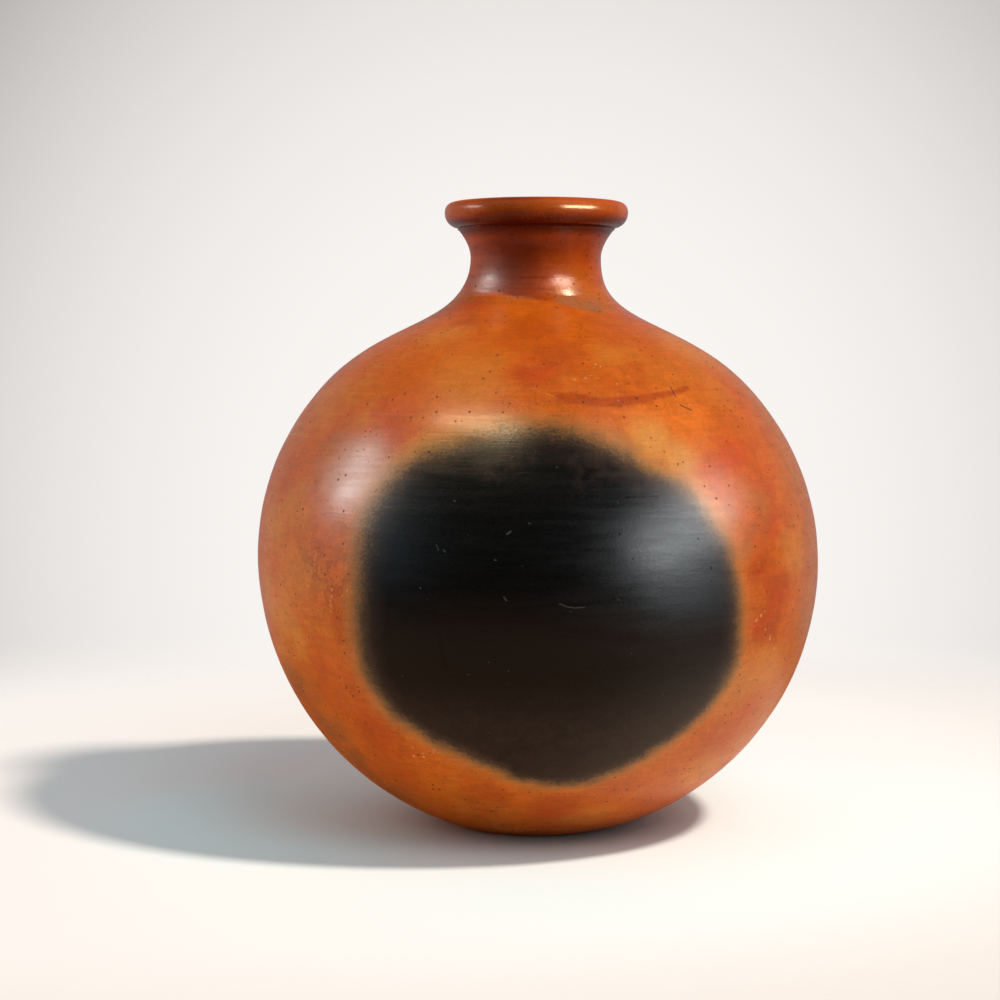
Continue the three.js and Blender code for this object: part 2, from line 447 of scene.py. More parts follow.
POLISHED_PATCHES = [((-38, 84), 30), ((-8, 84), 30)]
CHIP_PATCHES = [((-96, -1), 15), ((99, -11), 12), ((104, -24), 9), ((-58, -71), 14), ((24, 103), 22)]

# Marks on the chart, each a line through points (across, up), and their half widths
GROOVE = [(-46.3, -8.3), (-44.3, -15.5), (-43, -23)]
CURL = [(2.8, 6.2), (4.2, 4.9), (6.4, 4), (9, 3.6), (11.6, 3.7)]
FLECKS = [
    [(-18, 33), (-17, 34.2)],
    [(-48.5, 28), (-47.9, 26.2)],
    [(-45.2, 25.6), (-44, 25)],
    [(-19.4, 7.6), (-18.4, 6.2)],
]
HAIR_SCRATCHES = [[(54.1, -62.1), (55.9, -86.8)], [(-14, 112), (-2, 111)], [(-8, 98), (4, 92)]]
SLIP_STREAK = [(6, 92), (18, 90.5), (32, 91), (46, 93.5)]
SLIP_TAIL = [(40, 92), (58, 97), (72, 101.5)]
NICKS = [[(61.4, 101.5), (62.6, 96)], [(64, 91.5), (69.5, 89)]]
GROOVE_HALF = 1.5
CURL_HALF = 0.4
FLECK_HALF = 0.45
SCRATCH_HALF = 0.5
NICK_HALF = 0.5
STREAK_HALF = 4.2
TAIL_HALF = 2.4

# Burnishing strokes, grain, pits and chips, each with its real size
STROKE_LENGTH = 34
STROKE_SLENDERNESS = 9  # how much longer than tall
BELLY_TURN = 12  # above and below the widest level, where the wall's run turns from outward to inward
STROKE_DEPTH = 0.05
FINE_STROKE_LENGTH = 13
FINE_STROKE_DEPTH = 0.03
MOTTLE_SIZE = 6
GRAIN_SIZE = 1.1
GRAIN_DEPTH = 0.035
PIT_CELL = 2.7
PIT_RADIUS = 0.66
PIT_DEPTH = 0.3
CHIP_CELL = 2.2
CHIP_RADIUS = 1
CHIP_RARITY = 0.25
GROOVE_DEPTH = 0.05
SLIP_RISE = 0.1

# Iron-rich slip over the neck and rim: its lower edge is a slanting line where the brush stopped, and on the
# right and over the rim it is thinner and worn to orange. It is painted darkest a little left of the middle,
# partly thicker slip and partly painted shade, and a band of painted shade lies under the rim.
SLIP_RED = "#bc4c0e"
SLIP_DARK_SHADED = "#86300a"
SLIP_WORN = "#c4661e"
SLIP_SMUDGE = "#94694a"
SLIP_UNDER_RIM_SHADE = "#4c0e04"  # painted shade under the rim, where the rim's shadow falls on the neck
RIM_SHADE_LEVEL = 266  # height of the middle of the painted shade under the rim
SLIP_SHADE_MIDDLE = -11  # the slip is painted darkest a little left of the middle: partly thicker slip, partly painted shade
RIM_SHADE_REACH = 5.5  # above and below that, where the painted shade ends, and where it is full
RIM_SHADE_CORE = 1.5
SLIP_LINE = 233  # height of its edge at the axis
SLIP_SLANT = -0.2  # rise of its edge for each millimetre to the right
SLIP_EDGE = (0.6, 2.8)  # above the line, the slip goes from nothing to full
SLIP_RUB_AND_LIGHT = (14, 42)  # to either side of the darkest place it is thinner, and painted lighter where more light falls
SLIP_ROUGHNESS = 0.24
SLIP_ROUGHNESS_LEFT = 0.42
RIM_UNDERSIDE = (262, 266)  # heights between which the neck gives way to the rim
RIM_WORN = (270, 273)  # and where the slip on the rim starts to be worn, stops again, and turns duller
RIM_UNWORN = (275, 276.5)
RIM_DULL = (274, 276.5)
THIN_SLIP = [((17, 237), 16), ((27, 232), 14)]  # patches seen from the front, (across, height) with a radius
SMUDGES = [((14, 231), 9), ((23, 229), 9)]


def near_line(tree, chart, points, reach):
    """How near a place of the chart is to a line through points: 1 on the line, 0 from reach away."""
    nearest = reach
    for start, end in zip(points, points[1:]):
        start, run = Vector((*start, 0)), Vector((*end, 0)) - Vector((*start, 0))
        offset = add(tree, "ShaderNodeVectorMath", {0: chart, 1: start}, operation="SUBTRACT")
        along = add(
            tree,
            "ShaderNodeVectorMath",
            {0: offset, 1: run / run.length_squared},
            operation="DOT_PRODUCT",
        )
        held = add(tree, "ShaderNodeClamp", {"Value": along})
        foot = add(tree, "ShaderNodeVectorMath", {0: run, "Scale": held}, operation="SCALE")
        gap = add(tree, "ShaderNodeVectorMath", {0: offset, 1: foot}, operation="DISTANCE")
        nearest = add(tree, "ShaderNodeMath", {0: gap, 1: nearest}, operation="MINIMUM")
    return add(
        tree,
        "ShaderNodeMapRange",
        {"Value": nearest, "From Min": reach, "From Max": reach * 0.35},
        interpolation_type="SMOOTHSTEP",
    )


def near_any(tree, chart, patches, strength=1):
    """How near a place of the chart is to some round patches, (middle, radius): strength well within one."""
    nearest = 0
    for middle, radius in patches:
        gap = add(tree, "ShaderNodeVectorMath", {0: chart, 1: (*middle, 0)}, operation="DISTANCE")
        share = add(
            tree,
            "ShaderNodeMapRange",
            {"Value": gap, "From Min": radius, "From Max": radius * 0.2, "To Max": strength},
            interpolation_type="SMOOTHSTEP",
        )
        nearest = add(tree, "ShaderNodeMath", {0: share, 1: nearest}, operation="MAXIMUM")
    return nearest


def dots(tree, place, cell, radius, rarity):
    """Round dots of random size scattered through the clay. rarity is the share of cells without one."""
    cells = add(tree, "ShaderNodeTexVoronoi", {"Vector": place, "Scale": 1 / cell})
    gap = add(tree, "ShaderNodeMath", {0: cells.outputs["Distance"], 1: cell}, operation="MULTIPLY")
    chance = add(tree, "ShaderNodeSeparateColor", {"Color": cells.outputs["Color"]})
    size = add(tree, "ShaderNodeMapRange", {"Value": chance, "From Min": rarity, "To Max": radius})
    depth = add(tree, "ShaderNodeMath", {0: size, 1: gap}, operation="SUBTRACT")
    return add(
        tree,
        "ShaderNodeMapRange",
        {"Value": depth, "From Max": radius * 0.4},
        interpolation_type="SMOOTHSTEP",
    )


def burnished_clay():
    """Stone-burnished earthenware: satin gloss from the closed surface, strokes, pits and the fire cloud."""
    material = bpy.data.materials.new("burnished_earthenware")
    material.use_nodes = True
    tree = material.node_tree
    shader = tree.nodes["Principled BSDF"]
    coordinates = add(tree, "ShaderNodeTexCoord").outputs["Object"]
    place = add(tree, "ShaderNodeVectorMath", {0: coordinates, "Scale": 1 / MM}, operation="SCALE")

    # Height up the wall, for strokes that follow it over the shoulder: it counts outward run as well
    split = add(tree, "ShaderNodeSeparateXYZ", {0: place})
    level = split.outputs["Z"]
    flattened = add(tree, "ShaderNodeVectorMath", {0: place, 1: (1, 1, 0)}, operation="MULTIPLY")
    radius = add(tree, "ShaderNodeVectorMath", {0: flattened}, operation="LENGTH")
    side = add(
        tree,
        "ShaderNodeMapRange",
        {
            "Value": level,
            "From Min": BALL_CENTRE - BELLY_TURN,
            "From Max": BALL_CENTRE + BELLY_TURN,
            "To Min": 1,
            "To Max": -1,
        },
    )
    run_out = add(tree, "ShaderNodeMath", {0: radius, 1: BELLY_RADIUS}, operation="SUBTRACT")
    climbed = add(tree, "ShaderNodeMath", {0: run_out, 1: side, 2: level}, operation="MULTIPLY_ADD")
    climb = add(tree, "ShaderNodeMath", {0: climbed, 1: STROKE_SLENDERNESS}, operation="MULTIPLY")
    sideways = split.outputs["X"]
    unrolled = add(tree, "ShaderNodeCombineXYZ", {"X": sideways, "Y": split.outputs["Y"], "Z": climb})
    strokes = add(
        tree,
        "ShaderNodeTexNoise",
        {"Vector": unrolled, "Scale": 1 / STROKE_LENGTH, "Detail": 4, "Roughness": 0.55, "Distortion": 0.5},
    )
    fine_strokes = add(
        tree,
        "ShaderNodeTexNoise",
        {
            "Vector": unrolled,
            "Scale": 1 / FINE_STROKE_LENGTH,
            "Detail": 3,
            "Roughness": 0.6,
            "Distortion": 0.4,
        },
    )
    mottle = add(
        tree,
        "ShaderNodeTexNoise",
        {"Vector": place, "Scale": 1 / MOTTLE_SIZE, "Detail": 4, "Roughness": 0.6, "Distortion": 0.8},
    )
    grain = add(
        tree,
        "ShaderNodeTexNoise",
        {"Vector": place, "Scale": 1 / GRAIN_SIZE, "Detail": 2, "Roughness": 0.65},
    )

    # The chart of the ball about the cloud's middle
    from_centre = add(tree, "ShaderNodeVectorMath", {0: place, 1: (0, 0, BALL_CENTRE)}, operation="SUBTRACT")
    direction = add(tree, "ShaderNodeVectorMath", {0: from_centre}, operation="NORMALIZE")
    turn = Matrix.Rotation(CLOUD_AZIMUTH, 3, "Z") @ Matrix.Rotation(-CLOUD_ELEVATION, 3, "X")
    across, facing, upward = [turn @ Vector(axis) for axis in ((1, 0, 0), (0, -1, 0), (0, 0, 1))]
    right = add(tree, "ShaderNodeVectorMath", {0: direction, 1: across}, operation="DOT_PRODUCT")
    above = add(tree, "ShaderNodeVectorMath", {0: direction, 1: upward}, operation="DOT_PRODUCT")
    front = add(tree, "ShaderNodeVectorMath", {0: direction, 1: facing}, operation="DOT_PRODUCT")
    away = add(tree, "ShaderNodeMath", {0: front}, operation="ARCCOSINE")
    distance = add(tree, "ShaderNodeMath", {0: away, 1: BELLY_RADIUS}, operation="MULTIPLY")
    flat = add(tree, "ShaderNodeCombineXYZ", {"X": right, "Y": above})
    heading = add(tree, "ShaderNodeVectorMath", {0: flat}, operation="NORMALIZE")
    chart = add(tree, "ShaderNodeVectorMath", {0: heading, "Scale": distance}, operation="SCALE")

    # How deep a place is inside the cloud, whose edge wanders, breaks into grains and is softest at the top
    bearing = add(tree, "ShaderNodeMath", {0: above, 1: right}, operation="ARCTAN2")
    edge = CLOUD_RADIUS
    for times, swell, peak in CLOUD_SWELLS:
        phase = add(
            tree,
            "ShaderNodeMath",
            {0: bearing, 1: times, 2: -times * radians(peak)},
            operation="MULTIPLY_ADD",
        )
        wave = add(tree, "ShaderNodeMath", {0: phase}, operation="COSINE")
        edge = add(tree, "ShaderNodeMath", {0: wave, 1: swell, 2: edge}, operation="MULTIPLY_ADD")
    wander = add(
        tree,
        "ShaderNodeTexNoise",
        {"Vector": place, "Scale": 1 / EDGE_WANDER_SIZE, "Detail": 3, "Roughness": 0.6},
    )
    wandered = add(tree, "ShaderNodeMath", {0: wander, 1: EDGE_WANDER, 2: edge}, operation="MULTIPLY_ADD")
    from_top = add(tree, "ShaderNodeMath", {0: bearing, 1: EDGE_TOP}, operation="SUBTRACT")
    top_share = add(tree, "ShaderNodeMath", {0: from_top}, operation="COSINE")
    breaking = add(
        tree,
        "ShaderNodeMapRange",
        {
            "Value": top_share,
            "From Min": 0.3,
            "From Max": 0.9,
            "To Min": EDGE_BREAK,
            "To Max": EDGE_BREAK_TOP,
        },
        interpolation_type="SMOOTHSTEP",
    )
    centred_grain = add(tree, "ShaderNodeMath", {0: grain, 1: 0.5}, operation="SUBTRACT")
    grained = add(
        tree,
        "ShaderNodeMath",
        {0: centred_grain, 1: breaking, 2: wandered},
        operation="MULTIPLY_ADD",
    )
    past_edge = add(tree, "ShaderNodeMath", {0: grained, 1: distance}, operation="SUBTRACT")
    notch = near_any(tree, chart, [CLOUD_NOTCH], CLOUD_NOTCH_DEPTH)
    notched = add(tree, "ShaderNodeMath", {0: past_edge, 1: notch}, operation="SUBTRACT")
    depth = add(tree, "ShaderNodeMath", {0: notched, 1: EDGE_INSET}, operation="SUBTRACT")
    softness = add(
        tree,
        "ShaderNodeMapRange",
        {"Value": top_share, "From Min": -1, "To Min": EDGE_SOFTNESS, "To Max": EDGE_SOFTNESS_TOP},
    )
    soft_depth = add(tree, "ShaderNodeMath", {0: depth, 1: softness}, operation="DIVIDE")

    # Bare clay: broad random drifts of deeper and sallower orange all round the pot, and its own in front,
    # among them painted shade on the lower left
    drift = add(
        tree,
        "ShaderNodeTexNoise",
        {"Vector": place, "Scale": 1 / DRIFT_SIZE, "Detail": 4, "Roughness": 0.55},
    )
    streaks = add(tree, "ShaderNodeMath", {0: strokes, 1: 0.35, 2: drift}, operation="MULTIPLY_ADD")
    clay = colour(CLAY_ORANGE)
    for start, full, code in ((0.67, 0.85, CLAY_DEEP), (0.62, 0.48, CLAY_SALLOW)):
        share = add(
            tree,
            "ShaderNodeMapRange",
            {"Value": streaks, "From Min": start, "From Max": full, "To Max": 0.5},
            interpolation_type="SMOOTHSTEP",
        )
        clay = add(tree, "ShaderNodeMix", {"Factor": share, "A": clay, "B": colour(code)}, data_type="RGBA")
    spread = add(
        tree,
        "ShaderNodeTexNoise",
        {"Vector": place, "Scale": 1 / SPREAD_SIZE, "Detail": 4, "Roughness": 0.6},
    )
    centred = add(
        tree,
        "ShaderNodeVectorMath",
        {0: spread.outputs["Color"], 1: (0.5, 0.5, 0.5)},
        operation="SUBTRACT",
    )
    shift = add(tree, "ShaderNodeVectorMath", {0: centred, 1: (1, 1, 0)}, operation="MULTIPLY")
    warp = add(tree, "ShaderNodeVectorMath", {0: shift, "Scale": DRIFT_WARP}, operation="SCALE")
    warped = add(tree, "ShaderNodeVectorMath", {0: chart, 1: warp}, operation="ADD")
    for code, strength, patches in DRIFTS:
        share = near_any(tree, warped, patches, strength)
        clay = add(tree, "ShaderNodeMix", {"Factor": share, "A": clay, "B": colour(code)}, data_type="RGBA")

    # Red flashes elsewhere, the streak of spilt slip, and veins where the burnishing dragged the damp clay
    flash = add(
        tree,
        "ShaderNodeMapRange",
        {"Value": spread, "From Min": 0.56, "From Max": 0.76, "To Max": 0.55},
        interpolation_type="SMOOTHSTEP",
    )
    flashed = add(
        tree,
        "ShaderNodeMix",
        {"Factor": flash, "A": clay, "B": colour(FLASH_RED)},
        data_type="RGBA",
    )
    small_warp = add(tree, "ShaderNodeVectorMath", {0: shift, "Scale": MARK_WARP}, operation="SCALE")
    nearby = add(tree, "ShaderNodeVectorMath", {0: chart, 1: small_warp}, operation="ADD")
    on_streak = near_line(tree, nearby, SLIP_STREAK, STREAK_HALF)
    on_tail = near_line(tree, nearby, SLIP_TAIL, TAIL_HALF)
    on_either = add(tree, "ShaderNodeMath", {0: on_streak, 1: on_tail}, operation="MAXIMUM")
    streak_share = add(tree, "ShaderNodeMath", {0: on_either, 1: 0.6}, operation="MULTIPLY")
    wiped = add(
        tree,
        "ShaderNodeMix",
        {"Factor": streak_share, "A": flashed, "B": colour(STREAK_RED)},
        data_type="RGBA",
    )
    off_middle = add(tree, "ShaderNodeMath", {0: mottle, 1: 0.5}, operation="SUBTRACT")
    off_vein = add(tree, "ShaderNodeMath", {0: off_middle}, operation="ABSOLUTE")
    vein = add(
        tree,
        "ShaderNodeMapRange",
        {"Value": off_vein, "From Min": 0.05, "From Max": 0.01},
        interpolation_type="SMOOTHSTEP",
    )
    vein_zone = near_any(tree, nearby, VEIN_PATCHES, 0.6)
    veined_share = add(tree, "ShaderNodeMath", {0: vein, 1: vein_zone}, operation="MULTIPLY")
    veined = add(
        tree,
        "ShaderNodeMix",
        {"Factor": veined_share, "A": wiped, "B": colour(VEIN_BROWN)},
        data_type="RGBA",
    )

    # The pale halo, widest over the top of the cloud; its palest places, up left and up right, are partly
    # painted highlight
    halo_in = add(
        tree,
        "ShaderNodeMapRange",
        {"Value": depth, "From Min": -HALO_WIDTH, "From Max": -HALO_START},
        interpolation_type="SMOOTHSTEP",
    )
    from_top_middle = add(tree, "ShaderNodeMath", {0: bearing, 1: HALO_BEARING}, operation="SUBTRACT")
    from_middle = add(tree, "ShaderNodeMath", {0: from_top_middle}, operation="ABSOLUTE")
    from_palest = add(tree, "ShaderNodeMath", {0: from_middle, 1: HALO_SPREAD}, operation="SUBTRACT")
    off_palest = add(tree, "ShaderNodeMath", {0: from_palest}, operation="ABSOLUTE")
    halo_and_glint_share = add(
        tree,
        "ShaderNodeMapRange",
        {"Value": off_palest, "From Min": HALO_SPREAD, "From Max": 0, "To Min": 0.1, "To Max": 0.75},
        interpolation_type="SMOOTHSTEP",
    )
    halo = add(tree, "ShaderNodeMath", {0: halo_in, 1: halo_and_glint_share}, operation="MULTIPLY")
    # Partly painted highlight: gold patches where the lamp from the upper right glints
    gold_and_glint = near_any(tree, nearby, GOLD_AND_GLINT_PATCHES, 0.75)
    pale_and_glint_share = add(tree, "ShaderNodeMath", {0: halo, 1: gold_and_glint}, operation="MAXIMUM")
    haloed = add(
        tree,
        "ShaderNodeMix",
        {"Factor": pale_and_glint_share, "A": veined, "B": colour(HALO_PALE)},
        data_type="RGBA",
    )

    # The smoke, from bare clay to full black, brown where it is thin at the top, and brown towards its lower
    # end, there partly real and partly a painted reflection of the floor
    fade = CLOUD_FADE + CLOUD_DEPTH
    first, last = fade[0][0], fade[-1][0]
    along = add(tree, "ShaderNodeMapRange", {"Value": soft_depth, "From Min": first, "From Max": last})
    smoke = add(tree, "ShaderNodeValToRGB", {0: along})
    while len(smoke.color_ramp.elements) < len(fade):
        smoke.color_ramp.elements.new(1)
    for element, (at, code, cover) in zip(smoke.color_ramp.elements, fade):
        element.position = (at - first) / (last - first)
        element.color = colour(code)[:3] + [cover]
    thin = near_any(tree, warped, SMOKE_PATCHES, 0.9)
    patchy = add(
        tree,
        "ShaderNodeMapRange",
        {"Value": mottle, "From Min": 0.35, "From Max": 0.65},
        interpolation_type="SMOOTHSTEP",
    )
    thin_share = add(tree, "ShaderNodeMath", {0: thin, 1: patchy}, operation="MULTIPLY")
    browned = add(
        tree,
        "ShaderNodeMix",
        {"Factor": thin_share, "A": smoke.outputs["Color"], "B": colour(SMOKE_BROWN)},
        data_type="RGBA",
        blend_type="LIGHTEN",
    )
    # Partly painted reflection of the floor: the smoke turns brown towards its lower end
    lower_sheen_share = add(
        tree,
        "ShaderNodeMapRange",
        {"Value": level, "From Min": UMBER_SHEEN_START, "From Max": UMBER_SHEEN_FULL},
        interpolation_type="SMOOTHSTEP",
    )
    uneven_umber_sheen = add(
        tree,
        "ShaderNodeMapRange",
        {"Value": mottle, "From Min": 0.3, "From Max": 0.7, "To Min": 0.6},
    )
    umber_sheen_share = add(tree, "ShaderNodeMath", {0: lower_sheen_share, 1: uneven_umber_sheen}, operation="MULTIPLY")
    umber_and_sheen = add(
        tree,
        "ShaderNodeMix",
        {"Factor": umber_sheen_share, "A": browned, "B": colour(SMOKE_UMBER_SHEEN)},
        data_type="RGBA",
        blend_type="LIGHTEN",
    )
    clouded = add(
        tree,
        "ShaderNodeMix",
        {"Factor": smoke.outputs["Alpha"], "A": haloed, "B": umber_and_sheen},
        data_type="RGBA",
    )

    # The slip over the neck: painted shade under the rim, darkest a little left of the middle (partly thicker
    # slip, partly painted shade), thin and orange on the right and on top
    edge_line = add(
        tree,
        "ShaderNodeMath",
        {0: sideways, 1: -SLIP_SLANT, 2: level},
        operation="MULTIPLY_ADD",
    )
    edge_wander = add(tree, "ShaderNodeMath", {0: wander, 1: 3, 2: edge_line}, operation="MULTIPLY_ADD")
    slip = add(
        tree,
        "ShaderNodeMapRange",
        {"Value": edge_wander, "From Min": SLIP_LINE + SLIP_EDGE[0], "From Max": SLIP_LINE + SLIP_EDGE[1]},
        interpolation_type="SMOOTHSTEP",
    )
    # Painted shade, partly: the slip darkens towards a place a little left of the middle
    off_shade_middle = add(tree, "ShaderNodeMath", {0: sideways, 1: SLIP_SHADE_MIDDLE}, operation="SUBTRACT")
    from_shade_middle = add(tree, "ShaderNodeMath", {0: off_shade_middle}, operation="ABSOLUTE")
    brushed_shade_gap = add(tree, "ShaderNodeMath", {0: strokes, 1: 30, 2: from_shade_middle}, operation="MULTIPLY_ADD")
    rubbed_or_lit = add(
        tree,
        "ShaderNodeMapRange",
        {"Value": brushed_shade_gap, "From Min": SLIP_RUB_AND_LIGHT[0], "From Max": SLIP_RUB_AND_LIGHT[1]},
        interpolation_type="SMOOTHSTEP",
    )
    slip_colour_and_shade = add(
        tree,
        "ShaderNodeMix",
        {"Factor": rubbed_or_lit, "A": colour(SLIP_DARK_SHADED), "B": colour(SLIP_RED)},
        data_type="RGBA",
    )
    seen_flat = add(tree, "ShaderNodeCombineXYZ", {"X": sideways, "Y": level})
    crest = add(
        tree,
        "ShaderNodeMapRange",
        {"Value": level, "From Min": RIM_WORN[0], "From Max": RIM_WORN[1], "To Max": 0.3},
        interpolation_type="SMOOTHSTEP",
    )
    brim = add(
        tree,
        "ShaderNodeMapRange",
        {"Value": level, "From Min": RIM_UNWORN[0], "From Max": RIM_UNWORN[1], "To Min": 1, "To Max": 0},
        interpolation_type="SMOOTHSTEP",
    )
    worn_crest = add(tree, "ShaderNodeMath", {0: crest, 1: brim}, operation="MULTIPLY")
    # Painted shade: a dark band on the neck just under the rim
    from_undercut = add(tree, "ShaderNodeMath", {0: level, 1: RIM_SHADE_LEVEL}, operation="SUBTRACT")
    off_undercut = add(tree, "ShaderNodeMath", {0: from_undercut}, operation="ABSOLUTE")
    rim_shade_share = add(
        tree,
        "ShaderNodeMapRange",
        {"Value": off_undercut, "From Min": RIM_SHADE_REACH, "From Max": RIM_SHADE_CORE, "To Max": 0.85},
        interpolation_type="SMOOTHSTEP",
    )
    thin_slip = near_any(tree, seen_flat, THIN_SLIP, 0.75)
    worn_share = add(tree, "ShaderNodeMath", {0: worn_crest, 1: thin_slip}, operation="MAXIMUM")
    worn = add(
        tree,
        "ShaderNodeMix",
        {"Factor": worn_share, "A": slip_colour_and_shade, "B": colour(SLIP_WORN)},
        data_type="RGBA",
    )
    smudge = near_any(tree, seen_flat, SMUDGES, 0.6)
    smudged = add(
        tree,
        "ShaderNodeMix",
        {"Factor": smudge, "A": worn, "B": colour(SLIP_SMUDGE)},
        data_type="RGBA",
    )
    rim_shaded = add(
        tree,
        "ShaderNodeMix",
        {"Factor": rim_shade_share, "A": smudged, "B": colour(SLIP_UNDER_RIM_SHADE)},
        data_type="RGBA",
    )
    slipped = add(tree, "ShaderNodeMix", {"Factor": slip, "A": clouded, "B": rim_shaded}, data_type="RGBA")

    # Mottle and grain lighten and darken, pits and nicks are dark, chips and scratches show paler clay
    fine_tone = add(tree, "ShaderNodeMath", {0: grain, 1: 0.6}, operation="MULTIPLY")
    mottled = add(tree, "ShaderNodeMath", {0: mottle, 1: 0.8, 2: fine_tone}, operation="MULTIPLY_ADD")
    brushed_tone = add(
        tree,
        "ShaderNodeMath",
        {0: fine_strokes, 1: 0.6, 2: mottled},
        operation="MULTIPLY_ADD",
    )
    tone = add(
        tree,
        "ShaderNodeMapRange",
        {"Value": brushed_tone, "From Min": 0.7, "From Max": 1.3, "To Min": 0.78, "To Max": 1.22},
    )
    toned = add(
        tree,
        "ShaderNodeVectorMath",
        {0: first_enabled(slipped.outputs), "Scale": tone},
        operation="SCALE",
    )
    rarity = add(
        tree,
        "ShaderNodeMapRange",
        {"Value": spread, "From Min": 0.35, "From Max": 0.6, "To Min": 0.1, "To Max": 0.7},
    )
    few_in_smoke = add(tree, "ShaderNodeMath", {0: smoke.outputs["Alpha"], 1: 0.8}, operation="MULTIPLY")
    rarer = add(tree, "ShaderNodeMix", {"Factor": few_in_smoke, "A": rarity, "B": 0.97})
    dark = dots(tree, place, PIT_CELL, PIT_RADIUS, rarer)
    for line in NICKS:
        nick = near_line(tree, chart, line, NICK_HALF)
        dark = add(tree, "ShaderNodeMath", {0: dark, 1: nick}, operation="MAXIMUM")
    darkness = add(tree, "ShaderNodeMath", {0: dark, 1: 0.75}, operation="MULTIPLY")
    pitted = add(
        tree,
        "ShaderNodeMix",
        {"Factor": darkness, "A": toned, "B": colour(PIT_DARK)},
        data_type="RGBA",
    )
    chip_zone = near_any(tree, nearby, CHIP_PATCHES)
    chip_dots = dots(tree, place, CHIP_CELL, CHIP_RADIUS, CHIP_RARITY)
    pale = add(tree, "ShaderNodeMath", {0: chip_zone, 1: chip_dots}, operation="MULTIPLY")
    for line in HAIR_SCRATCHES:
        mark = near_line(tree, chart, line, SCRATCH_HALF)
        faint = add(tree, "ShaderNodeMath", {0: mark, 1: 0.2}, operation="MULTIPLY")
        pale = add(tree, "ShaderNodeMath", {0: pale, 1: faint}, operation="MAXIMUM")
    chip_share = add(tree, "ShaderNodeMath", {0: pale, 1: 0.55}, operation="MULTIPLY")
    chipped = add(
        tree,
        "ShaderNodeMix",
        {"Factor": chip_share, "A": pitted, "B": colour(CHIP_PALE)},
        data_type="RGBA",
    )
    scuffed = near_line(tree, nearby, CURL, CURL_HALF)
    for line in FLECKS:
        fleck = near_line(tree, nearby, line, FLECK_HALF)
        scuffed = add(tree, "ShaderNodeMath", {0: scuffed, 1: fleck}, operation="MAXIMUM")
    scuffed_share = add(tree, "ShaderNodeMath", {0: scuffed, 1: 0.25}, operation="MULTIPLY")
    finished = add(
        tree,
        "ShaderNodeMix",
        {"Factor": scuffed_share, "A": chipped, "B": colour(SCUFF_GREY)},
        data_type="RGBA",
    )
    groove = near_line(tree, nearby, GROOVE, GROOVE_HALF)
    grooved = add(
        tree,
        "ShaderNodeMix",
        {"Factor": groove, "A": finished, "B": (0, 0, 0, 1)},
        data_type="RGBA",
    )
    tree.links.new(first_enabled(grooved.outputs), shader.inputs["Base Color"])

    # Gloss: alike on bare and smoked clay, more where it was polished longest, the slip glossiest
    right_side = add(tree, "ShaderNodeMapRange", {"Value": sideways, "From Min": -8, "From Max": 8})
    on_rim = add(
        tree,
        "ShaderNodeMapRange",
        {"Value": level, "From Min": RIM_UNDERSIDE[0], "From Max": RIM_UNDERSIDE[1]},
    )
    rubbed_share = add(tree, "ShaderNodeMath", {0: right_side, 1: on_rim}, operation="MAXIMUM")
    matt_crest = add(
        tree,
        "ShaderNodeMapRange",
        {
            "Value": level,
            "From Min": RIM_DULL[0],
            "From Max": RIM_DULL[1],
            "To Min": SLIP_ROUGHNESS,
            "To Max": SLIP_ROUGHNESS_LEFT,
        },
    )
    rubbed_gloss = add(
        tree,
        "ShaderNodeMix",
        {"Factor": rubbed_share, "A": SLIP_ROUGHNESS_LEFT, "B": matt_crest},
    )
    polish = near_any(tree, chart, POLISHED_PATCHES, 0.06)
    polished_gloss = add(tree, "ShaderNodeMath", {0: CLAY_ROUGHNESS, 1: polish}, operation="SUBTRACT")
    slip_gloss = add(tree, "ShaderNodeMix", {"Factor": slip, "A": polished_gloss, "B": rubbed_gloss})
    uneven = add(tree, "ShaderNodeMath", {0: strokes, 1: 0.5}, operation="SUBTRACT")
    brushed_gloss = add(tree, "ShaderNodeMath", {0: uneven, 1: 0.25, 2: slip_gloss}, operation="MULTIPLY_ADD")
    gloss = add(
        tree,
        "ShaderNodeMath",
        {0: centred_grain, 1: 0.15, 2: brushed_gloss},
        operation="MULTIPLY_ADD",
    )
    pit_gloss = add(tree, "ShaderNodeMath", {0: dark, 1: 0.5, 2: gloss}, operation="MULTIPLY_ADD")
    tree.links.new(first_enabled(pit_gloss.outputs), shader.inputs["Roughness"])
    shader.inputs["IOR"].default_value = CLAY_IOR

    # Relief, in metres: strokes, grain, and pits sunk into the surface
    relief = add(tree, "ShaderNodeMath", {0: strokes, 1: STROKE_DEPTH * MM}, operation="MULTIPLY")
    raised = ((fine_strokes, FINE_STROKE_DEPTH), (grain, GRAIN_DEPTH), (slip, SLIP_RISE))
    sunk = ((dark, -PIT_DEPTH), (groove, -GROOVE_DEPTH))
    for layer, rise in raised + sunk:
        relief = add(tree, "ShaderNodeMath", {0: layer, 1: rise * MM, 2: relief}, operation="MULTIPLY_ADD")
    bump = add(tree, "ShaderNodeBump", {"Distance": 1, "Height": relief})
    tree.links.new(bump.outputs[0], shader.inputs["Normal"])
    return material


WIPED_BROWN = "#8a4522"
WIPED_DARK = "#5d2c15"
WIPED_ROUGHNESS = 0.85
SMEAR_SIZE = 26
SMEAR_SLENDERNESS = 5
SMEAR_DEPTH = 0.4


